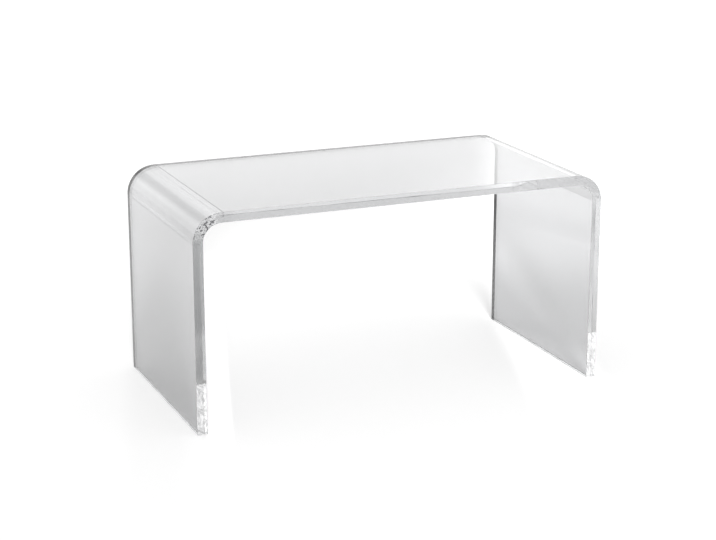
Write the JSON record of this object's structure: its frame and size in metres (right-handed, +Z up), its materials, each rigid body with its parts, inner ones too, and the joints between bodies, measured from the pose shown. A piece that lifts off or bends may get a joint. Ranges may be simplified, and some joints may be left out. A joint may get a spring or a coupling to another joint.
{
  "type": "acrylic side table",
  "caption": "Low waterfall side table of thick clear acrylic sheet, bent down at each end into a panel leg, with small clear pads under the foot edges.",
  "frame": {"origin": "on the floor, under the centre of the top", "axes": "+X along the table's length towards the right leg, +Y from the front edge to the back edge, +Z up"},
  "size_m": [0.813, 0.406, 0.4075],
  "materials": {
    "clear_acrylic": "polished",
    "clear_pad": "satin"
  },
  "bodies": {
    "root": {"bent_sheet": "clear_acrylic", "pad_front_left": "clear_pad", "pad_front_right": "clear_pad", "pad_back_left": "clear_pad", "pad_back_right": "clear_pad"}
  },
  "joints": []
}
